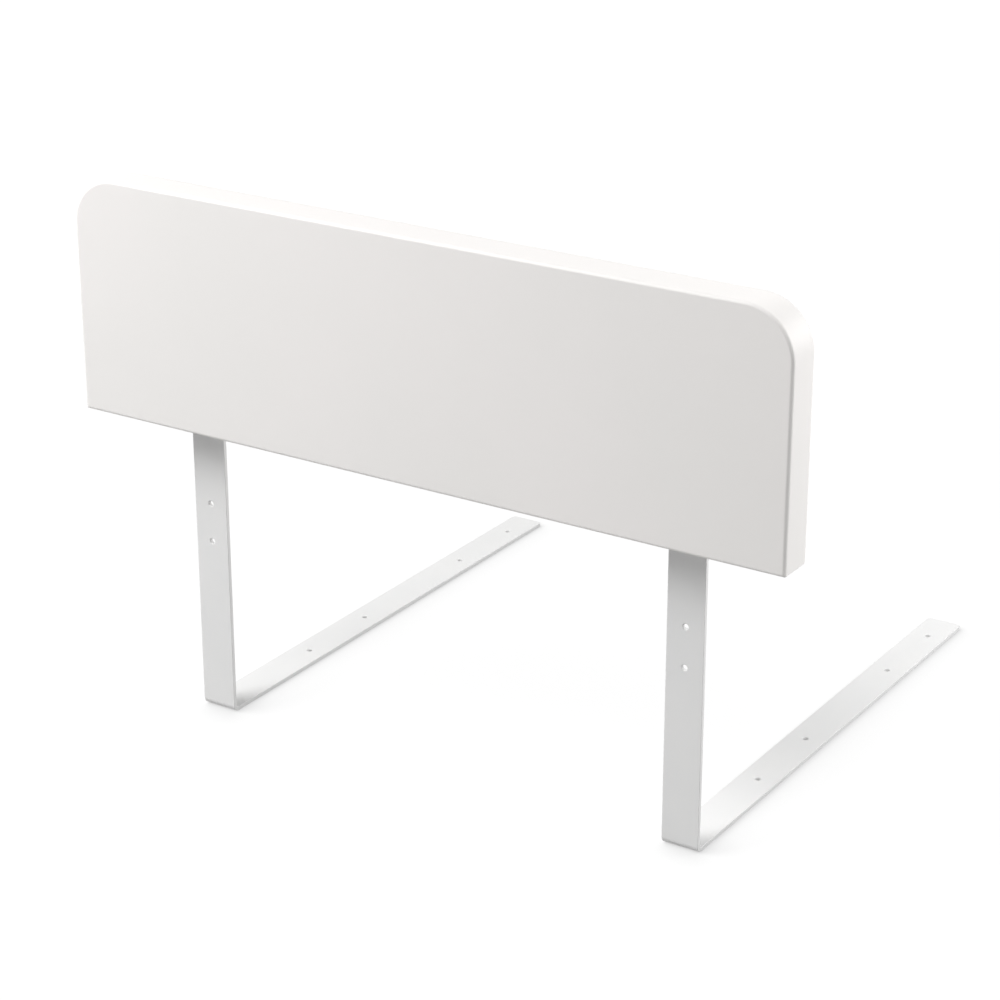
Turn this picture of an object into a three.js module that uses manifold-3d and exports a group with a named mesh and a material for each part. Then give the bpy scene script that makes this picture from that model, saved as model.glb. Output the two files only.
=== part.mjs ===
// A bed guard rail: a thick lacquered board carried by two bent flat-steel brackets, whose legs go
// under the mattress. Millimetres, +Z up. +X runs along the board and +Y towards the mattress.
// The origin is on the floor, below the middle of the whole part.
import * as THREE from 'three';
import { mergeVertices } from 'three/addons/utils/BufferGeometryUtils.js';
import Module from 'manifold-3d';

// Guard board
const boardLength = 900;
const boardHeight = 277;
const boardThickness = 50;
const boardTopRadius = 56;
const boardBottomRadius = 2;
const boardFrontRound = 4;
const boardBackRound = 9;
const boardClearance = 368; // from the floor up to the board's lower edge

// Flat bar of the brackets
const barWidth = 45;
const barThickness = 5;
const barEdgeRound = 0.7;
const barEndRound = 5;
const bendInnerRadius = 4;
const bracketInset = 137; // from the board's end to the middle of the bar behind it
const legLength = 686; // from the upright's board side to the leg's far end
const uprightEndMargin = 44; // from the upright's top hole to its end

// Holes drilled in pairs through the bars
const holeDiameter = 6.6;
const uprightPairPitch = 47;
const sparePairHeight = 239; // from the floor to the middle of the bare pair
const boardPairHeight = 108; // from the board's lower edge to the middle of the pair behind it
const legPairPitch = 118;
const nearPairReach = 239; // from the upright's board side to the middle of the near pair
const farPairSetback = 111; // from the leg's far end to the middle of the far pair

// Button-head screws, washers and the threaded inserts that take them
const screwDiameter = 6;
const screwLength = 20;
const screwTipChamfer = 0.8;
const headDiameter = 10.5;
const headHeight = 3.3;
const headRim = 0.8;
const headFlatDiameter = 5.6;
const socketAcrossFlats = 4;
const socketDepth = 2.1;
const washerDiameter = 12;
const washerThickness = 1.6;
const insertDiameter = 10;
const insertLength = 13;
const insertLeadChamfer = 1;
const insertRecess = 0.5;
const insertHoleRunout = 2;
const seatGap = 0.3; // between pieces that touch

// Facets
const topCornerSteps = 16;
const bottomCornerSteps = 3;
const frontRoundSteps = 3;
const backRoundSteps = 6;
const barEdgeSteps = 2;
const barEndSteps = 6;
const bendSteps = 12;
const roundFacets = 32;
const domeSteps = 5;
const hexSides = 6;
const cutOverrun = 1;

// Places worked out from the sizes above
const wholeDepth = boardThickness + seatGap + legLength;
const boardFront = -wholeDepth / 2;
const boardBack = boardFront + boardThickness;
const bracketOffset = boardLength / 2 - bracketInset;
const barFace = boardBack + seatGap;
const bendOuterRadius = bendInnerRadius + barThickness;
const boardPairMiddle = boardClearance + boardPairHeight;
const uprightHeight = boardPairMiddle + uprightPairPitch / 2 + uprightEndMargin;
const screwHoleRadius = screwDiameter / 2 + seatGap;
const quarterTurn = Math.PI / 2;

const lacquer = new THREE.MeshStandardMaterial({ color: 0xf1f0ed, roughness: 0.42, metalness: 0 });
const powderCoat = new THREE.MeshStandardMaterial({ color: 0xeeeeee, roughness: 0.5, metalness: 0 });
const zincPlate = new THREE.MeshStandardMaterial({ color: 0xb9bcc0, roughness: 0.35, metalness: 1 });

const wasm = await Module();
wasm.setup();

// A closed three.js geometry as a solid that can be cut
function solidOf(geometry) {
  const bare = geometry.clone();
  bare.deleteAttribute('normal');
  bare.deleteAttribute('uv');
  const merged = mergeVertices(bare);
  return new wasm.Manifold(new wasm.Mesh({
    numProp: 3,
    vertProperties: new Float32Array(merged.attributes.position.array),
    triVerts: new Uint32Array(merged.index.array),
  }));
}

// The three.js geometry of a solid
function geometryOf(solid) {
  const { vertProperties, triVerts } = solid.getMesh();
  const geometry = new THREE.BufferGeometry();
  geometry.setAttribute('position', new THREE.BufferAttribute(vertProperties, 3));
  geometry.setIndex(new THREE.BufferAttribute(triVerts, 1));
  geometry.computeVertexNormals();
  return geometry;
}

// Corner points of a rectangle with round corners, from its top right corner round by the bottom.
// Each corner is given as its radius and its number of steps.
function roundedRectangle(left, right, bottom, top, corners) {
  const inward = [[-1, -1], [-1, 1], [1, 1], [1, -1]];
  const tips = [[right, top], [right, bottom], [left, bottom], [left, top]];
  return corners.flatMap(([radius, steps], corner) => {
    const [across, up] = tips[corner];
    const [inX, inZ] = inward[corner];
    const centre = new THREE.Vector2(across + inX * radius, up + inZ * radius);
    return Array.from({ length: steps + 1 }, (unused, step) => {
      const turn = quarterTurn * (corner + step / steps);
      return new THREE.Vector2(Math.sin(turn), Math.cos(turn)).multiplyScalar(radius).add(centre);
    });
  });
}

// A closed skin over rings of points, each ring running the same way about the line they follow
function loft(rings) {
  const size = rings[0].length;
  const index = [];
  for (let row = 0; row < rings.length - 1; row += 1) {
    for (let i = 0; i < size; i += 1) {
      const a = row * size + i;
      const b = row * size + (i + 1) % size;
      index.push(a, b, b + size, a, b + size, a + size);
    }
  }
  const last = (rings.length - 1) * size;
  for (let i = 1; i < size - 1; i += 1) {
    index.push(0, i + 1, i, last, last + i, last + i + 1);
  }
  const geometry = new THREE.BufferGeometry().setFromPoints(rings.flat());
  geometry.setIndex(index);
  return geometry;
}

// A round cutter or bore along Y or Z, centred on its place
function roundCutter(radius, length, along, place) {
  const cutter = new THREE.CylinderGeometry(radius, radius, length, roundFacets);
  if (along === 'z') cutter.rotateX(quarterTurn);
  cutter.translate(place.x, place.y, place.z);
  return solidOf(cutter);
}

// The two places of a pair, half a pitch each way along Y or Z
function pairPlaces(middle, pitch, along) {
  return [-1, 1].map((side) => {
    const place = middle.clone();
    place[along] += side * pitch / 2;
    return place;
  });
}

// Board: its front outline is lofted from the front face to the back face, drawn in at both arrises
function boardGeometry() {
  const ring = (depth, inset) => {
    const bottomRadius = boardBottomRadius * (1 - inset / (boardBackRound + boardFrontRound));
    return roundedRectangle(
      inset - boardLength / 2,
      boardLength / 2 - inset,
      boardClearance + inset,
      boardClearance + boardHeight - inset,
      [
        [boardTopRadius - inset, topCornerSteps],
        [bottomRadius, bottomCornerSteps],
        [bottomRadius, bottomCornerSteps],
        [boardTopRadius - inset, topCornerSteps],
      ],
    ).map((point) => new THREE.Vector3(point.x, depth, point.y));
  };
  const rings = [];
  for (let step = 0; step <= frontRoundSteps; step += 1) {
    const turn = quarterTurn * step / frontRoundSteps;
    const depth = boardFront + boardFrontRound * (1 - Math.cos(turn));
    rings.push(ring(depth, boardFrontRound * (1 - Math.sin(turn))));
  }
  for (let step = 0; step <= backRoundSteps; step += 1) {
    const turn = quarterTurn * step / backRoundSteps;
    const depth = boardBack - boardBackRound * (1 - Math.sin(turn));
    rings.push(ring(depth, boardBackRound * (1 - Math.cos(turn))));
  }
  let board = solidOf(loft(rings));
  const holeDepth = insertRecess + insertLength + insertHoleRunout;
  const holeRadius = insertDiameter / 2 + seatGap;
  for (const side of [-1, 1]) {
    const middle = new THREE.Vector3(
      side * bracketOffset,
      boardBack + (cutOverrun - holeDepth) / 2,
      boardPairMiddle,
    );
    for (const place of pairPlaces(middle, uprightPairPitch, 'z')) {
      board = board.subtract(roundCutter(holeRadius, holeDepth + cutOverrun, 'y', place));
    }
  }
  return geometryOf(board);
}

// Bracket: one flat bar followed from the upright's top, round the bend and along the leg
function bracketGeometry() {
  const stations = [];
  const addStation = (y, z, turn, narrowing) => stations.push({ y, z, turn, narrowing });
  const endDraw = (share) => barEndRound * (1 - Math.sqrt(1 - (1 - share) ** 2));
  const endShares = Array.from({ length: barEndSteps + 1 }, (unused, step) => (
    1 - Math.cos(quarterTurn * step / barEndSteps)
  ));
  for (const share of endShares) {
    addStation(barFace, uprightHeight - share * barEndRound, 0, endDraw(share));
  }
  for (let step = 0; step <= bendSteps; step += 1) {
    const turn = quarterTurn * step / bendSteps;
    const y = barFace + bendOuterRadius * (1 - Math.cos(turn));
    addStation(y, bendOuterRadius * (1 - Math.sin(turn)), turn, 0);
  }
  for (const share of [...endShares].reverse()) {
    addStation(barFace + legLength - share * barEndRound, 0, quarterTurn, endDraw(share));
  }
  const edges = Array.from({ length: 4 }, () => [barEdgeRound, barEdgeSteps]);
  const rings = stations.map(({ y, z, turn, narrowing }) => {
    const half = barWidth / 2 - narrowing;
    return roundedRectangle(-half, half, 0, barThickness, edges).map((point) => new THREE.Vector3(
      point.x,
      y + point.y * Math.cos(turn),
      z + point.y * Math.sin(turn),
    ));
  });
  let bracket = solidOf(loft(rings));
  const cutLength = barThickness + 2 * cutOverrun;
  const uprightDepth = barFace + barThickness / 2;
  for (const height of [sparePairHeight, boardPairMiddle]) {
    const middle = new THREE.Vector3(0, uprightDepth, height);
    for (const place of pairPlaces(middle, uprightPairPitch, 'z')) {
      bracket = bracket.subtract(roundCutter(holeDiameter / 2, cutLength, 'y', place));
    }
  }
  for (const reach of [nearPairReach, legLength - farPairSetback]) {
    const middle = new THREE.Vector3(0, barFace + reach, barThickness / 2);
    for (const place of pairPlaces(middle, legPairPitch, 'y')) {
      bracket = bracket.subtract(roundCutter(holeDiameter / 2, cutLength, 'z', place));
    }
  }
  return geometryOf(bracket);
}

// Button-head screw along Y, with its head's seat at zero and its tip towards -Y
function screwGeometry() {
  const shank = screwDiameter / 2;
  const flat = headFlatDiameter / 2;
  const rim = headDiameter / 2;
  const profile = [
    new THREE.Vector2(0, -screwLength),
    new THREE.Vector2(shank - screwTipChamfer, -screwLength),
    new THREE.Vector2(shank, screwTipChamfer - screwLength),
    new THREE.Vector2(shank, 0),
    new THREE.Vector2(rim, 0),
  ];
  for (let step = 0; step <= domeSteps; step += 1) {
    const turn = quarterTurn * step / domeSteps;
    const out = flat + (rim - flat) * Math.cos(turn);
    profile.push(new THREE.Vector2(out, headRim + (headHeight - headRim) * Math.sin(turn)));
  }
  profile.push(new THREE.Vector2(0, headHeight));
  const socketRadius = socketAcrossFlats / 2 / Math.cos(Math.PI / hexSides);
  const socketLength = socketDepth + cutOverrun;
  const socket = new THREE.CylinderGeometry(socketRadius, socketRadius, socketLength, hexSides);
  socket.translate(0, headHeight - socketDepth + socketLength / 2, 0);
  const body = solidOf(new THREE.LatheGeometry(profile, roundFacets));
  return geometryOf(body.subtract(solidOf(socket)));
}

// Flat washer along Y, its lower face at zero
function washerGeometry() {
  return new THREE.LatheGeometry([
    new THREE.Vector2(screwHoleRadius, 0),
    new THREE.Vector2(washerDiameter / 2, 0),
    new THREE.Vector2(washerDiameter / 2, washerThickness),
    new THREE.Vector2(screwHoleRadius, washerThickness),
    new THREE.Vector2(screwHoleRadius, 0),
  ], roundFacets);
}

// Threaded insert along Y, its mouth at zero and its chamfered lead end towards -Y
function insertGeometry() {
  const outer = insertDiameter / 2;
  return new THREE.LatheGeometry([
    new THREE.Vector2(screwHoleRadius, -insertLength),
    new THREE.Vector2(outer - insertLeadChamfer, -insertLength),
    new THREE.Vector2(outer, insertLeadChamfer - insertLength),
    new THREE.Vector2(outer, 0),
    new THREE.Vector2(screwHoleRadius, 0),
    new THREE.Vector2(screwHoleRadius, -insertLength),
  ], roundFacets);
}

function namedMesh(name, geometry, material) {
  const mesh = new THREE.Mesh(geometry, material);
  mesh.name = name;
  return mesh;
}

const guardRail = new THREE.Group();
guardRail.add(namedMesh('guard_board', boardGeometry(), lacquer));

const washerSeat = barFace + barThickness + seatGap;
const headSeat = washerSeat + washerThickness + seatGap;
for (const [hand, side] of [['left', -1], ['right', 1]]) {
  const bracketSide = new THREE.Group();
  bracketSide.position.x = side * bracketOffset;
  bracketSide.add(namedMesh(`${hand}_bracket`, bracketGeometry(), powderCoat));
  const pair = pairPlaces(new THREE.Vector3(0, 0, boardPairMiddle), uprightPairPitch, 'z');
  for (const [row, level] of [['lower', pair[0]], ['upper', pair[1]]]) {
    const fixing = new THREE.Group();
    fixing.position.copy(level);
    const screw = namedMesh(`${hand}_${row}_screw`, screwGeometry(), zincPlate);
    screw.position.y = headSeat;
    const washer = namedMesh(`${hand}_${row}_washer`, washerGeometry(), zincPlate);
    washer.position.y = washerSeat;
    const insert = namedMesh(`${hand}_${row}_insert`, insertGeometry(), zincPlate);
    insert.position.y = boardBack - insertRecess;
    fixing.add(screw, washer, insert);
    bracketSide.add(fixing);
  }
  guardRail.add(bracketSide);
}

export default guardRail;
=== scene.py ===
import math

import bmesh
import bpy
from mathutils import Matrix, Vector


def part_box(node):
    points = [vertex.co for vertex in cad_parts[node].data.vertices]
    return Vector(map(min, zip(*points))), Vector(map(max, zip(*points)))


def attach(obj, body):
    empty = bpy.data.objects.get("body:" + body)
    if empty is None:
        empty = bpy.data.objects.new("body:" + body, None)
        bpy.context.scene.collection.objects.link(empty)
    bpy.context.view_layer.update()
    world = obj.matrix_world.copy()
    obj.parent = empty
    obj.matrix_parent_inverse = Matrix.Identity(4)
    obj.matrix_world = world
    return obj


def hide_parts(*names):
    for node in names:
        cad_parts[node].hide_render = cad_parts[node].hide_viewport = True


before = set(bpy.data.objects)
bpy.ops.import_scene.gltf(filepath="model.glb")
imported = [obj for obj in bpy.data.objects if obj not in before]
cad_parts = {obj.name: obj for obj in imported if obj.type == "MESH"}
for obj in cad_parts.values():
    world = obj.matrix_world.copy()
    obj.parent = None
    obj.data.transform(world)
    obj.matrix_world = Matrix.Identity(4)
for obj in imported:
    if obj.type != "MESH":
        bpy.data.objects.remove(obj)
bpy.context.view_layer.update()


# Guard board
# One thick board sawn to its outline, with two large round corners at the top. Its front arris is only eased
# and its back arris is rounded well over. It is lacquered white, then bored from behind for four inserts, so
# the bare core shows in the bores.
MM = 0.001
QUARTER_TURN = math.pi / 2
FULL_TURN = 4 * QUARTER_TURN
BOARD_TOP_RADIUS = 56 * MM
BOARD_BOTTOM_RADIUS = 2 * MM
BOARD_FRONT_ROUND = 4 * MM
BOARD_BACK_ROUND = 9 * MM
INSERT_HOLE_RADIUS = 5.3 * MM
INSERT_HOLE_DEPTH = 15.5 * MM
TOP_CORNER_SEGMENTS = 48
BOTTOM_CORNER_SEGMENTS = 5
FRONT_ROUND_SEGMENTS = 8
BACK_ROUND_SEGMENTS = 16
INSERT_HOLE_SEGMENTS = 48
SHARP_ANGLE = math.radians(35)
MERGE_DISTANCE = 0.0005 * MM
LACQUER_WHITE = (0.905, 0.882, 0.866, 1)
LACQUER_DRIFT = (0.893, 0.875, 0.857, 1)
LACQUER_DRIFT_SIZE = 220 * MM
LACQUER_PEEL_SIZE = 3.2 * MM
LACQUER_PEEL_DEPTH = 0.012 * MM
LACQUER_ROUGHNESS = (0.36, 0.44)
LACQUER_SHINE = 0.3  # a satin coat, less shiny than a plain gloss paint at 0.5
CORE_TAN = (0.56, 0.41, 0.26, 1)
CORE_DARK = (0.43, 0.30, 0.18, 1)
CORE_PATCH_SIZE = 2 * MM
CORE_FIBRE_SIZE = 0.5 * MM
CORE_FIBRE_DEPTH = 0.12 * MM
CORE_ROUGHNESS = (0.8, 0.95)
DRIFT_DETAIL = 2
DRIFT_RANGE = (0.35, 0.65)  # of the noise, between the one tone and the other
GRAIN_DETAIL = 1.5
GRAIN_RANGE = (0.3, 0.7)  # of the noise, between the least and the most roughness
FLAT_FACE_WEIGHT = 100
CORE_SLOT = 1  # in the board's list of materials

board_low, board_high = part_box("guard_board")


def arris(radius, segments):
    """Steps round an eased edge from the flat face to the side: depth under the face, inset from the side."""
    turns = [QUARTER_TURN * step / segments for step in range(segments + 1)]
    return [(radius * (1 - math.cos(turn)), radius * (1 - math.sin(turn))) for turn in turns]


def rounded_outline(bm, low, high, depth, low_corner, high_corner):
    """Edges of an upright rectangle at one depth, each pair of corners rounded by its radius and segments."""
    tips = [(low[0], low[1]), (high[0], low[1]), (high[0], high[1]), (low[0], high[1])]
    corners = [bm.verts.new((x, depth, z)) for x, z in tips]
    bm.faces.new(corners)
    for pair, (radius, segments) in ((corners[:2], low_corner), (corners[2:], high_corner)):
        bmesh.ops.bevel(
            bm, geom=pair, offset=radius, segments=segments, profile=0.5, affect="VERTICES", material=-1,
        )
    bm.faces.ensure_lookup_table()
    face = bm.faces[-1]
    edges = list(face.edges)
    bm.faces.remove(face)
    return edges


def round_outline(bm, radius, segments, place):
    """Edges of an upright circle that faces along Y."""
    ring = bmesh.ops.create_circle(bm, segments=segments, radius=radius)["verts"]
    bmesh.ops.rotate(bm, verts=ring, matrix=Matrix.Rotation(QUARTER_TURN, 3, "X"))
    bmesh.ops.translate(bm, verts=ring, vec=place)
    return list({edge for vert in ring for edge in vert.link_edges})


def join_outlines(bm, outlines):
    """Skins the outlines one after the other."""
    for first, second in zip(outlines, outlines[1:]):
        bmesh.ops.bridge_loops(bm, edges=first + second)


def put_in_order(parts, key):
    """Sorts a mesh's points or faces by their places, as their own order changes from run to run."""
    ranks = {part: rank for rank, part in enumerate(sorted(parts, key=key))}
    parts.sort(key=ranks.get)
    parts.index_update()


def finish_mesh(bm, name):
    """The mesh as an object: merged, in order, facing out, and smooth except at its sharp edges."""
    bmesh.ops.remove_doubles(bm, verts=bm.verts, dist=MERGE_DISTANCE)
    put_in_order(bm.verts, lambda vert: vert.co[:])
    put_in_order(bm.faces, lambda face: sorted(vert.index for vert in face.verts))
    bmesh.ops.recalc_face_normals(bm, faces=bm.faces)
    mesh = bpy.data.meshes.new(name)
    bm.to_mesh(mesh)
    bm.free()
    mesh.shade_smooth()
    mesh.set_sharp_from_angle(angle=SHARP_ANGLE)
    piece = bpy.data.objects.new(name, mesh)
    bpy.context.scene.collection.objects.link(piece)
    flats = piece.modifiers.new("flat faces stay flat", "WEIGHTED_NORMAL")
    flats.keep_sharp = True
    flats.weight = FLAT_FACE_WEIGHT
    return piece


def finish_group():
    """A coat or a metal surface: two tones that drift into each other, and a grain with its roughness."""
    group = bpy.data.node_groups.new("drift and grain", "ShaderNodeTree")
    for name, kind in (
        ("Tone", "NodeSocketColor"), ("Drift Tone", "NodeSocketColor"), ("Drift Size", "NodeSocketFloat"),
        ("Grain Size", "NodeSocketFloat"), ("Least Roughness", "NodeSocketFloat"),
        ("Most Roughness", "NodeSocketFloat"),
    ):
        group.interface.new_socket(name, in_out="INPUT", socket_type=kind)
    for name, kind in (
        ("Color", "NodeSocketColor"), ("Roughness", "NodeSocketFloat"), ("Height", "NodeSocketFloat"),
    ):
        group.interface.new_socket(name, in_out="OUTPUT", socket_type=kind)
    nodes, link = group.nodes, group.links.new
    given = nodes.new("NodeGroupInput")
    out = nodes.new("NodeGroupOutput")
    place = nodes.new("ShaderNodeTexCoord").outputs["Object"]

    def noise(size, detail, name):
        per_metre = nodes.new("ShaderNodeMath")
        per_metre.operation = "DIVIDE"
        per_metre.inputs[0].default_value = 1
        link(given.outputs[size], per_metre.inputs[1])
        texture = nodes.new("ShaderNodeTexNoise")
        texture.name = texture.label = name
        texture.inputs["Detail"].default_value = detail
        link(place, texture.inputs["Vector"])
        link(per_metre.outputs[0], texture.inputs["Scale"])
        return texture.outputs["Fac"]

    drift = noise("Drift Size", DRIFT_DETAIL, "slow drift")
    grain = noise("Grain Size", GRAIN_DETAIL, "grain")
    spread = nodes.new("ShaderNodeMapRange")
    spread.name = spread.label = "drift from one tone to the other"
    spread.interpolation_type = "SMOOTHSTEP"
    for socket, value in zip(("From Min", "From Max"), DRIFT_RANGE):
        spread.inputs[socket].default_value = value
    link(drift, spread.inputs["Value"])
    tones = nodes.new("ShaderNodeMix")
    tones.data_type = "RGBA"
    link(spread.outputs["Result"], tones.inputs["Factor"])
    link(given.outputs["Tone"], tones.inputs["A"])
    link(given.outputs["Drift Tone"], tones.inputs["B"])
    sheen = nodes.new("ShaderNodeMapRange")
    sheen.name = sheen.label = "roughness follows the grain"
    for socket, value in zip(("From Min", "From Max"), GRAIN_RANGE):
        sheen.inputs[socket].default_value = value
    link(grain, sheen.inputs["Value"])
    link(given.outputs["Least Roughness"], sheen.inputs["To Min"])
    link(given.outputs["Most Roughness"], sheen.inputs["To Max"])
    link(tones.outputs["Result"], out.inputs["Color"])
    link(sheen.outputs["Result"], out.inputs["Roughness"])
    link(grain, out.inputs["Height"])
    return group


drift_and_grain = finish_group()


def finish_material(name, tones, sizes, roughness, grain_depth, metallic=0.0, specular=0.5):
    """A material on the shared drift and grain: two tones, drift and grain sizes, a range of roughness."""
    material = bpy.data.materials.new(name)
    material.use_nodes = True
    nodes, link = material.node_tree.nodes, material.node_tree.links.new
    shader = nodes["Principled BSDF"]
    shader.inputs["Metallic"].default_value = metallic
    shader.inputs["Specular IOR Level"].default_value = specular
    surface = nodes.new("ShaderNodeGroup")
    surface.node_tree = drift_and_grain
    surface.label = name
    sockets = ("Tone", "Drift Tone", "Drift Size", "Grain Size", "Least Roughness", "Most Roughness")
    for socket, value in zip(sockets, (*tones, *sizes, *roughness)):
        surface.inputs[socket].default_value = value
    bump = nodes.new("ShaderNodeBump")
    bump.inputs["Distance"].default_value = grain_depth
    link(surface.outputs["Color"], shader.inputs["Base Color"])
    link(surface.outputs["Roughness"], shader.inputs["Roughness"])
    link(surface.outputs["Height"], bump.inputs["Height"])
    link(bump.outputs["Normal"], shader.inputs["Normal"])
    return material


white_lacquer = finish_material(
    "white lacquer", (LACQUER_WHITE, LACQUER_DRIFT), (LACQUER_DRIFT_SIZE, LACQUER_PEEL_SIZE),
    LACQUER_ROUGHNESS, LACQUER_PEEL_DEPTH, specular=LACQUER_SHINE,
)
bare_core = finish_material(
    "bare board core", (CORE_TAN, CORE_DARK), (CORE_PATCH_SIZE, CORE_FIBRE_SIZE), CORE_ROUGHNESS,
    CORE_FIBRE_DEPTH,
)

fixings = [
    (hand, row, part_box(f"{hand}_{row}_insert")) for hand in ("left", "right") for row in ("lower", "upper")
]
bm = bmesh.new()
levels = [(board_low.y + depth, inset) for depth, inset in arris(BOARD_FRONT_ROUND, FRONT_ROUND_SEGMENTS)]
back_arris = arris(BOARD_BACK_ROUND, BACK_ROUND_SEGMENTS)
levels += [(board_high.y - depth, inset) for depth, inset in reversed(back_arris)]
outlines = [
    rounded_outline(
        bm,
        (board_low.x + inset, board_low.z + inset),
        (board_high.x - inset, board_high.z - inset),
        depth,
        (BOARD_BOTTOM_RADIUS * (1 - inset / (BOARD_BACK_ROUND + BOARD_FRONT_ROUND)), BOTTOM_CORNER_SEGMENTS),
        (BOARD_TOP_RADIUS - inset, TOP_CORNER_SEGMENTS),
    )
    for depth, inset in levels
]
hole_rims = [
    round_outline(
        bm, INSERT_HOLE_RADIUS, INSERT_HOLE_SEGMENTS,
        ((low.x + high.x) / 2, board_high.y, (low.z + high.z) / 2),
    )
    for _, _, (low, high) in fixings
]
join_outlines(bm, outlines)
bmesh.ops.contextual_create(bm, geom=outlines[0])
bmesh.ops.triangle_fill(bm, use_beauty=True, edges=outlines[-1] + sum(hole_rims, []))
for rim in hole_rims:
    bored = bmesh.ops.extrude_edge_only(bm, edges=rim)["geom"]
    floor_rim = [part for part in bored if isinstance(part, bmesh.types.BMVert)]
    bmesh.ops.translate(bm, verts=floor_rim, vec=(0, -INSERT_HOLE_DEPTH, 0))
    walls = [part for part in bored if isinstance(part, bmesh.types.BMFace)]
    floor_edges = [edge for edge in bored if isinstance(edge, bmesh.types.BMEdge)
                   and all(vert in floor_rim for vert in edge.verts)]
    walls += bmesh.ops.contextual_create(bm, geom=floor_edges)["faces"]
    for face in walls:
        face.material_index = CORE_SLOT
guard_board = finish_mesh(bm, "lacquered_board")
guard_board.data.materials.append(white_lacquer)
guard_board.data.materials.append(bare_core)
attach(guard_board, "root")
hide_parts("guard_board")


# Brackets
# Each is one flat steel bar with round-cornered ends, drilled in pairs and deburred while flat, then bent
# through a right angle round a small former. The white powder coat comes last and rounds its edges and holes.
BAR_END_ROUND = 5 * MM
BAR_EDGE_ROUND = 0.7 * MM
BAR_EDGE_SEGMENTS = 4
BAR_END_SEGMENTS = 12
BAR_THICKNESS = 5 * MM
BEND_INNER_RADIUS = 4 * MM
BEND_OUTER_RADIUS = BEND_INNER_RADIUS + BAR_THICKNESS
BEND_MIDDLE_RADIUS = BEND_INNER_RADIUS + BAR_THICKNESS / 2
BEND_SEGMENTS = 24
BEND_BULGE = 0.25 * MM  # how far the squeezed inside of the bend swells past the bar's sides
HOLE_RADIUS = 3.3 * MM
HOLE_RIM_ROUND = 1 * MM
HOLE_SEGMENTS = 40
UPRIGHT_PAIR_PITCH = 47 * MM
SPARE_PAIR_HEIGHT = 239 * MM
BOARD_PAIR_HEIGHT = 108 * MM  # from the board's lower edge to the middle of the pair behind it
LEG_PAIR_PITCH = 118 * MM
NEAR_PAIR_REACH = 239 * MM  # from the upright's board side
FAR_PAIR_SETBACK = 111 * MM  # from the leg's far end
COAT_WHITE = (0.844, 0.842, 0.836, 1)
COAT_DRIFT = (0.83, 0.83, 0.826, 1)
COAT_DRIFT_SIZE = 90 * MM
COAT_GRAIN_SIZE = 0.7 * MM
COAT_GRAIN_DEPTH = 0.02 * MM
COAT_ROUGHNESS = (0.44, 0.56)
COAT_SHINE = 0.35

powder_coat = finish_material(
    "white powder coat", (COAT_WHITE, COAT_DRIFT), (COAT_DRIFT_SIZE, COAT_GRAIN_SIZE), COAT_ROUGHNESS,
    COAT_GRAIN_DEPTH, specular=COAT_SHINE,
)


def pair(middle, pitch):
    """Two places a pitch apart, evenly about a middle."""
    return [middle - pitch / 2, middle + pitch / 2]


def bend_up(bm, low, high):
    """Bends the flat bar's lower length back round the former, so that it lies along the floor."""
    middle = (low.x + high.x) / 2
    for vert in bm.verts:
        along = BEND_OUTER_RADIUS - vert.co.z
        if along <= 0:
            continue
        depth = vert.co.y - low.y
        turn = min(along / BEND_MIDDLE_RADIUS, QUARTER_TURN)
        past = along - turn * BEND_MIDDLE_RADIUS
        from_centre = BEND_OUTER_RADIUS - depth
        squeeze = (2 * depth / BAR_THICKNESS - 1) * math.sin(2 * turn)
        vert.co.x += BEND_BULGE * squeeze * (vert.co.x - middle) / (high.x - middle)
        vert.co.y = low.y + BEND_OUTER_RADIUS - from_centre * math.cos(turn) + past
        vert.co.z = BEND_OUTER_RADIUS - from_centre * math.sin(turn)


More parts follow.
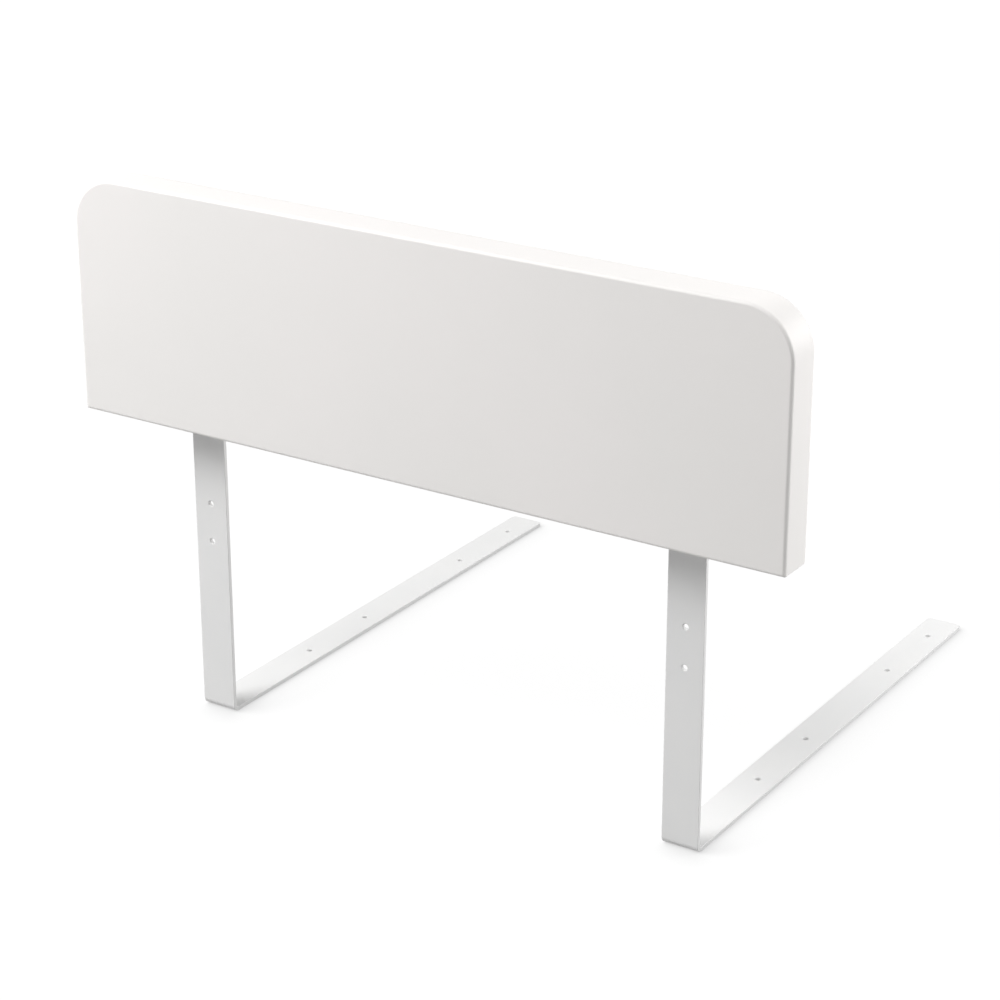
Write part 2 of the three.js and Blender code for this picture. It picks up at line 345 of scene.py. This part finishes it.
for hand in ("left", "right"):
    low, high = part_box(f"{hand}_bracket")
    bend_length = BEND_MIDDLE_RADIUS * QUARTER_TURN
    leg_length = high.y - low.y
    flat_floor = 2 * BEND_OUTER_RADIUS - bend_length  # in the flat bar, where the leg's reach is zero
    heights = pair(SPARE_PAIR_HEIGHT, UPRIGHT_PAIR_PITCH)
    heights += pair(board_low.z + BOARD_PAIR_HEIGHT, UPRIGHT_PAIR_PITCH)
    for reach in pair(NEAR_PAIR_REACH, LEG_PAIR_PITCH) + pair(leg_length - FAR_PAIR_SETBACK, LEG_PAIR_PITCH):
        heights.append(flat_floor - reach)
    bm = bmesh.new()
    steps = arris(BAR_EDGE_ROUND, BAR_EDGE_SEGMENTS)
    levels = [(low.y + depth, inset) for depth, inset in steps]
    levels += [(low.y + BAR_THICKNESS - depth, inset) for depth, inset in reversed(steps)]
    outlines = [
        rounded_outline(
            bm,
            (low.x + inset, flat_floor - leg_length + inset),
            (high.x - inset, high.z - inset),
            depth,
            (BAR_END_ROUND - inset, BAR_END_SEGMENTS),
            (BAR_END_ROUND - inset, BAR_END_SEGMENTS),
        )
        for depth, inset in levels
    ]
    rims = arris(HOLE_RIM_ROUND, BAR_EDGE_SEGMENTS)
    rims = [(low.y + depth, spread) for depth, spread in rims] + [
        (low.y + BAR_THICKNESS - depth, spread) for depth, spread in reversed(rims)
    ]
    holes = [
        [
            round_outline(bm, HOLE_RADIUS + spread, HOLE_SEGMENTS, ((low.x + high.x) / 2, depth, height))
            for depth, spread in rims
        ]
        for height in heights
    ]
    join_outlines(bm, outlines)
    for hole in holes:
        join_outlines(bm, hole)
    for side in (0, -1):
        edges = outlines[side] + sum((hole[side] for hole in holes), [])
        bmesh.ops.triangle_fill(bm, use_beauty=True, edges=edges)
    for step in range(BEND_SEGMENTS + 1):
        bmesh.ops.bisect_plane(
            bm,
            geom=[*bm.verts, *bm.edges, *bm.faces],
            dist=MERGE_DISTANCE,
            plane_co=(0, 0, BEND_OUTER_RADIUS - bend_length * step / BEND_SEGMENTS),
            plane_no=(0, 0, 1),
        )
    bend_up(bm, low, high)
    bracket = finish_mesh(bm, f"{hand}_bent_bar")
    bracket.data.materials.append(powder_coat)
    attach(bracket, "root")
    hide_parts(f"{hand}_bracket")


# Screws
# Four short button-head machine screws, cold headed with a hexagon socket, rolled with a metric thread and
# zinc plated. Each goes through the bar from the mattress side and into an insert in the board.
ZINC_PALE = (0.71, 0.73, 0.75, 1)
ZINC_DULL = (0.60, 0.62, 0.65, 1)
ZINC_DRIFT_SIZE = 3 * MM
ZINC_GRAIN_SIZE = 0.25 * MM
ZINC_GRAIN_DEPTH = 0.006 * MM
ZINC_ROUGHNESS = (0.24, 0.42)
SCREW_RADIUS = 3 * MM
SCREW_PITCH = 1 * MM
THREAD_DEPTH_SHARE = 0.613  # of the pitch
CREST_SHARE = 1 / 8  # of the pitch
ROOT_SHARE = 1 / 4  # of the pitch
SCREW_TIP_CHAMFER = 0.8 * MM
CHAMFER_STEPS = 3
SCREW_NECK_RADIUS = 2.3 * MM
SCREW_NECK_LENGTH = 1 * MM
HEAD_HEIGHT = 3.3 * MM
HEAD_RIM = 0.8 * MM
HEAD_EDGE = 0.2 * MM
HEAD_FLAT_RADIUS = 2.8 * MM
SOCKET_CORNER_RADIUS = 2.31 * MM
SOCKET_LEAD = 0.18 * MM
SOCKET_DEPTH = 2.1 * MM
SOCKET_POINT = 0.5 * MM
HEX_SIDES = 6
DOME_SEGMENTS = 14
TURN_SEGMENTS = 48

zinc_plate = finish_material(
    "zinc plate", (ZINC_PALE, ZINC_DULL), (ZINC_DRIFT_SIZE, ZINC_GRAIN_SIZE), ZINC_ROUGHNESS,
    ZINC_GRAIN_DEPTH, metallic=1.0,
)


def thread(bm, crest, root, pitch, bottom, top):
    """A thread about Z, wound on past both ends and then cut off square. Gives its bottom and top edges."""
    flank = (1 - CREST_SHARE - ROOT_SHARE) / 2
    shares = [(crest, 0), (crest, CREST_SHARE), (root, CREST_SHARE + flank), (root, 1 - flank), (crest, 1)]
    start = bottom - 2 * pitch
    points = [bm.verts.new((radius, 0, start + share * pitch)) for radius, share in shares]
    profile = points + [bm.edges.new(ends) for ends in zip(points, points[1:])]
    others = set(bm.verts) - set(points)
    bmesh.ops.spin(
        bm, geom=profile, cent=(0, 0, 0), axis=(0, 0, 1), dvec=(0, 0, pitch / TURN_SEGMENTS),
        angle=FULL_TURN, steps=TURN_SEGMENTS, use_merge=False,
    )
    turn = [vert for vert in bm.verts if vert not in others]
    turn_edges = {edge for vert in turn for edge in vert.link_edges}
    turn += turn_edges | {face for vert in turn for face in vert.link_faces}
    for step in range(1, math.ceil((top - start) / pitch) + 1):
        copied = bmesh.ops.duplicate(bm, geom=turn)["geom"]
        copied = [part for part in copied if isinstance(part, bmesh.types.BMVert)]
        bmesh.ops.translate(bm, verts=copied, vec=(0, 0, step * pitch))
    bmesh.ops.remove_doubles(
        bm, verts=[vert for vert in bm.verts if vert not in others], dist=MERGE_DISTANCE,
    )
    ends = []
    for height, way in ((bottom, -1), (top, 1)):
        wound = [vert for vert in bm.verts if vert not in others]
        geom = set(wound)
        for vert in wound:
            geom.update(vert.link_edges, vert.link_faces)
        cut = bmesh.ops.bisect_plane(
            bm, geom=list(geom), dist=MERGE_DISTANCE, plane_co=(0, 0, height), plane_no=(0, 0, way),
            clear_outer=True,
        )
        ends.append([part for part in cut["geom_cut"] if isinstance(part, bmesh.types.BMEdge)])
    return ends


def turned(bm, points):
    """A profile of radius and height spun about Z. Gives its first and last rings of edges."""
    verts = [bm.verts.new((radius, 0, height)) for radius, height in points]
    edges = [bm.edges.new(ends) for ends in zip(verts, verts[1:])]
    bmesh.ops.spin(
        bm, geom=verts + edges, cent=(0, 0, 0), axis=(0, 0, 1), angle=FULL_TURN,
        steps=TURN_SEGMENTS, use_merge=True,
    )
    rings = []
    for radius, height in (points[0], points[-1]):
        rings.append([
            edge for edge in bm.edges
            if all(abs(vert.co.z - height) < MERGE_DISTANCE for vert in edge.verts)
            and all(abs(vert.co.xy.length - radius) < MERGE_DISTANCE for vert in edge.verts)
        ])
    return rings


def chamfer_end(bm, bottom, length, radius):
    """Turns the lower end of a thread down to a cone."""
    for step in range(1, CHAMFER_STEPS + 1):
        bmesh.ops.bisect_plane(
            bm, geom=[*bm.verts, *bm.edges, *bm.faces], dist=MERGE_DISTANCE,
            plane_co=(0, 0, bottom + length * step / CHAMFER_STEPS), plane_no=(0, 0, 1),
        )
    for vert in bm.verts:
        most = radius - max(0, bottom + length - vert.co.z)
        if vert.co.xy.length > most:
            vert.co.xy *= most / vert.co.xy.length


def seat_fastener(upright, name, node, depth):
    """Lays a copy of an upright fastener down towards the mattress side, in its place, and finishes it."""
    low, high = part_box(node)
    bm = upright.copy()
    bmesh.ops.rotate(bm, verts=bm.verts, matrix=Matrix.Rotation(-QUARTER_TURN, 3, "X"))
    bmesh.ops.translate(bm, verts=bm.verts, vec=((low.x + high.x) / 2, depth, (low.z + high.z) / 2))
    piece = finish_mesh(bm, name)
    piece.data.materials.append(zinc_plate)
    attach(piece, "root")
    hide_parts(node)


low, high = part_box("left_lower_screw")
head_radius = (high.x - low.x) / 2
tip = HEAD_HEIGHT - (high.y - low.y)
screw = bmesh.new()
root = SCREW_RADIUS - THREAD_DEPTH_SHARE * SCREW_PITCH
tip_edges, thread_top = thread(screw, SCREW_RADIUS, root, SCREW_PITCH, tip, -SCREW_NECK_LENGTH)
chamfer_end(screw, tip, SCREW_TIP_CHAMFER, SCREW_RADIUS)
profile = [
    (SCREW_NECK_RADIUS, -SCREW_NECK_LENGTH), (SCREW_NECK_RADIUS, 0), (head_radius - HEAD_EDGE, 0),
    (head_radius, HEAD_EDGE),
]
for step in range(DOME_SEGMENTS + 1):
    turn = QUARTER_TURN * step / DOME_SEGMENTS
    profile.append((
        HEAD_FLAT_RADIUS + (head_radius - HEAD_FLAT_RADIUS) * math.cos(turn),
        HEAD_RIM + (HEAD_HEIGHT - HEAD_RIM) * math.sin(turn),
    ))
neck_ring, flat_ring = turned(screw, profile)
mouth_radius = SOCKET_CORNER_RADIUS + SOCKET_LEAD
hexagon = bmesh.ops.create_circle(screw, segments=HEX_SIDES, radius=mouth_radius)["verts"]
bmesh.ops.translate(screw, verts=hexagon, vec=(0, 0, HEAD_HEIGHT))
mouth = list({edge for vert in hexagon for edge in vert.link_edges})
bmesh.ops.contextual_create(screw, geom=tip_edges)
bmesh.ops.triangle_fill(screw, use_beauty=True, edges=thread_top + neck_ring)
bmesh.ops.triangle_fill(screw, use_beauty=True, edges=flat_ring + mouth)
for scale, drop in ((SOCKET_CORNER_RADIUS / mouth_radius, SOCKET_LEAD), (1, SOCKET_DEPTH - SOCKET_LEAD)):
    sunk = bmesh.ops.extrude_edge_only(screw, edges=mouth)["geom"]
    verts = [part for part in sunk if isinstance(part, bmesh.types.BMVert)]
    bmesh.ops.scale(screw, verts=verts, vec=(scale, scale, 1))
    bmesh.ops.translate(screw, verts=verts, vec=(0, 0, -drop))
    mouth = [part for part in sunk if isinstance(part, bmesh.types.BMEdge)
             and all(vert in verts for vert in part.verts)]
socket_floor = bmesh.ops.contextual_create(screw, geom=mouth)["faces"]
bmesh.ops.recalc_face_normals(screw, faces=screw.faces)
bmesh.ops.poke(screw, faces=socket_floor, offset=-SOCKET_POINT)
for hand, row, _ in fixings:
    low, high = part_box(f"{hand}_{row}_screw")
    seat_fastener(screw, f"{hand}_{row}_button_screw", f"{hand}_{row}_screw", high.y - HEAD_HEIGHT)


# Washers
# Flat steel washers stamped from sheet, so one face has rolled-over edges and the other is nearly sharp. They
# are zinc plated, and spread the load of each screw's head on the bar's powder coat.
WASHER_BORE_RADIUS = 3.3 * MM
WASHER_ROLLED_EDGE = 0.4 * MM
WASHER_SHARP_EDGE = 0.1 * MM
ROLLED_SEGMENTS = 5

low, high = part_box("left_lower_washer")
washer = bmesh.new()
section = rounded_outline(
    washer, (WASHER_BORE_RADIUS, 0), ((high.x - low.x) / 2, high.y - low.y), 0,
    (WASHER_SHARP_EDGE, ROLLED_SEGMENTS), (WASHER_ROLLED_EDGE, ROLLED_SEGMENTS),
)
bmesh.ops.spin(
    washer, geom=[*washer.verts, *section], cent=(0, 0, 0), axis=(0, 0, 1), angle=FULL_TURN,
    steps=TURN_SEGMENTS, use_merge=True,
)
for hand, row, _ in fixings:
    low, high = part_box(f"{hand}_{row}_washer")
    seat_fastener(washer, f"{hand}_{row}_flat_washer", f"{hand}_{row}_washer", low.y)


# Threaded inserts
# Short zinc-plated bushes with a coarse thread outside, screwed into bored holes in the board's back, and a
# metric thread inside that takes a screw. Each sits just under the board's face.
INSERT_BORE_RADIUS = 3.3 * MM
INSERT_OUTER_PITCH = 2.5 * MM
INSERT_OUTER_DEPTH = 0.9 * MM
INSERT_LEAD_CHAMFER = 1 * MM

low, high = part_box("left_lower_insert")
outer_radius = (high.x - low.x) / 2
length = high.y - low.y
insert = bmesh.new()
outer = thread(insert, outer_radius, outer_radius - INSERT_OUTER_DEPTH, INSERT_OUTER_PITCH, -length, 0)
chamfer_end(insert, -length, INSERT_LEAD_CHAMFER, outer_radius)
bore_root = INSERT_BORE_RADIUS + THREAD_DEPTH_SHARE * SCREW_PITCH
bore = thread(insert, INSERT_BORE_RADIUS, bore_root, SCREW_PITCH, -length, 0)
for outer_edges, bore_edges in zip(outer, bore):
    bmesh.ops.triangle_fill(insert, use_beauty=True, edges=outer_edges + bore_edges)
for hand, row, (low, high) in fixings:
    seat_fastener(insert, f"{hand}_{row}_threaded_insert", f"{hand}_{row}_insert", high.y)


# Floor, light and camera
# A plain white studio floor. Its glow carries a painted contact shadow, which darkens it softly on the right
# of whatever stands close over it. The front is lit by a large soft lamp high at the front left, a weaker one
# in front and a small one by the left end. Two weak lamps at the right and the back right light the board's
# end and leave the arris beside it a bit darker.
FLOOR_SIZE = 40
FLOOR_DROP = 0.1 * MM
FLOOR_BOUNCE = (0.45, 0.45, 0.45, 1)
FLOOR_SHADE = (0.12, 0.12, 0.12, 1)
FLOOR_NEAR_RADIUS = 0.8
FLOOR_FAR_RADIUS = 3.5
FLOOR_NEAR_GLOW = 0.9
FLOOR_FAR_GLOW = 1.02
# Reach, samples, least glow and lean of the painted contact shadow on the floor.
CONTACT_REACH = 55 * MM
CONTACT_SAMPLES = 16
CONTACT_LEAST = 0.57
CONTACT_LEAN = (-0.7, 0, 0.7)  # towards the main lamp, so the shade lies on the far side of each leg
FILL_STRENGTH = 0.26
CAMERA_PLACE = Vector((1.55272, -2.59447, 1.45354))
CAMERA_AZIMUTH = math.radians(32.831)
CAMERA_ELEVATION = math.radians(22.081)
CAMERA_LENS = 98.56
LAMPS = {
    # name: (place, point it faces, width and height in metres, watts)
    "high at the front left": (Vector((-3.0, -2.8, 4.0)), Vector((-0.1, -0.35, 0.4)), 3.0, 3.0, 198),
    "high at the front": (Vector((-0.6, -2.6, 3.4)), Vector((0, -0.35, 0.4)), 2.0, 2.0, 16),
    "near the left end": (Vector((-1.2, -1.3, 1.7)), Vector((-0.2, -0.35, 0.5)), 1.0, 1.0, 9.6),
    "at the right": (Vector((1.35, 0.08, 1.0)), Vector((0.4, -0.1, 0.2)), 0.9, 0.9, 6.7),
    "low at the back right": (Vector((1.35, 0.8, 0.95)), Vector((0.3, 0.1, 0.1)), 0.9, 0.9, 10.5),
}


def seen_directly(nodes, link):
    """A mask that is 1 for what the camera sees directly, in a mirror or through glass."""
    path = nodes.new("ShaderNodeLightPath")
    mask = path.outputs["Is Camera Ray"]
    for kind in ("Is Glossy Ray", "Is Transmission Ray"):
        either = nodes.new("ShaderNodeMath")
        either.operation = "MAXIMUM"
        link(mask, either.inputs[0])
        link(path.outputs[kind], either.inputs[1])
        mask = either.outputs[0]
    return mask


def stretched(nodes, link, value, low, high, least, most):
    """Maps a value from low to high onto least to most."""
    scale = nodes.new("ShaderNodeMapRange")
    for key, number in (("From Min", low), ("From Max", high), ("To Min", least), ("To Max", most)):
        scale.inputs[key].default_value = number
    link(value, scale.inputs["Value"])
    return scale.outputs["Result"]


bm = bmesh.new()
bmesh.ops.create_grid(bm, x_segments=1, y_segments=1, size=FLOOR_SIZE / 2)
bmesh.ops.translate(bm, verts=bm.verts, vec=(0, 0, -FLOOR_DROP))
mesh = bpy.data.meshes.new("studio floor")
bm.to_mesh(mesh)
bm.free()
floor = bpy.data.objects.new("studio_floor", mesh)
bpy.context.scene.collection.objects.link(floor)
paper = bpy.data.materials.new("studio paper")
paper.use_nodes = True
nodes, link = paper.node_tree.nodes, paper.node_tree.links.new
nodes.remove(nodes["Principled BSDF"])
bounce = nodes.new("ShaderNodeBsdfDiffuse")
bounce.inputs["Color"].default_value = FLOOR_BOUNCE
shade = nodes.new("ShaderNodeBsdfDiffuse")
shade.inputs["Color"].default_value = FLOOR_SHADE
# Painted contact shadow: ambient occlusion, leaned towards the main lamp, darkens the glow the camera sees
# near whatever stands over the floor.
painted_contact_shadow = nodes.new("ShaderNodeAmbientOcclusion")
painted_contact_shadow.samples = CONTACT_SAMPLES
painted_contact_shadow.inputs["Distance"].default_value = CONTACT_REACH
lean = nodes.new("ShaderNodeCombineXYZ")
for axis, share in zip("XYZ", CONTACT_LEAN):
    lean.inputs[axis].default_value = share
link(lean.outputs["Vector"], painted_contact_shadow.inputs["Normal"])
place = nodes.new("ShaderNodeTexCoord")
reach = nodes.new("ShaderNodeVectorMath")
reach.operation = "LENGTH"
link(place.outputs["Object"], reach.inputs[0])
open_glow = stretched(
    nodes, link, reach.outputs["Value"], FLOOR_NEAR_RADIUS, FLOOR_FAR_RADIUS, FLOOR_NEAR_GLOW, FLOOR_FAR_GLOW,
)
shown = nodes.new("ShaderNodeMath")
shown.operation = "MULTIPLY"
link(open_glow, shown.inputs[0])
link(stretched(nodes, link, painted_contact_shadow.outputs["AO"], 0, 1, CONTACT_LEAST, 1), shown.inputs[1])
glow = nodes.new("ShaderNodeEmission")
link(shown.outputs[0], glow.inputs["Strength"])
lit = nodes.new("ShaderNodeAddShader")
link(shade.outputs[0], lit.inputs[0])
link(glow.outputs[0], lit.inputs[1])
choice = nodes.new("ShaderNodeMixShader")
link(seen_directly(nodes, link), choice.inputs[0])
link(bounce.outputs[0], choice.inputs[1])
link(lit.outputs[0], choice.inputs[2])
link(choice.outputs[0], nodes["Material Output"].inputs["Surface"])
mesh.materials.append(paper)

scene = bpy.context.scene
world = bpy.data.worlds.new("studio")
scene.world = world
world.use_nodes = True
nodes, link = world.node_tree.nodes, world.node_tree.links.new
nodes["Background"].inputs["Color"].default_value = (1, 1, 1, 1)
strength = stretched(nodes, link, seen_directly(nodes, link), 0, 1, FILL_STRENGTH, 1)
link(strength, nodes["Background"].inputs["Strength"])

for name, (place, target, width, height, watts) in LAMPS.items():
    lamp = bpy.data.lights.new(name, "AREA")
    lamp.shape = "RECTANGLE"
    lamp.size = width
    lamp.size_y = height
    lamp.energy = watts
    holder = bpy.data.objects.new(name, lamp)
    holder.location = place
    holder.rotation_euler = (target - place).to_track_quat("-Z", "Y").to_euler()
    holder.visible_camera = False
    scene.collection.objects.link(holder)

camera = bpy.data.objects.new("camera", bpy.data.cameras.new("camera"))
camera.data.lens = CAMERA_LENS
camera.location = CAMERA_PLACE
camera.rotation_euler = (QUARTER_TURN - CAMERA_ELEVATION, 0, CAMERA_AZIMUTH)
scene.collection.objects.link(camera)
scene.camera = camera
scene.view_settings.view_transform = "Standard"
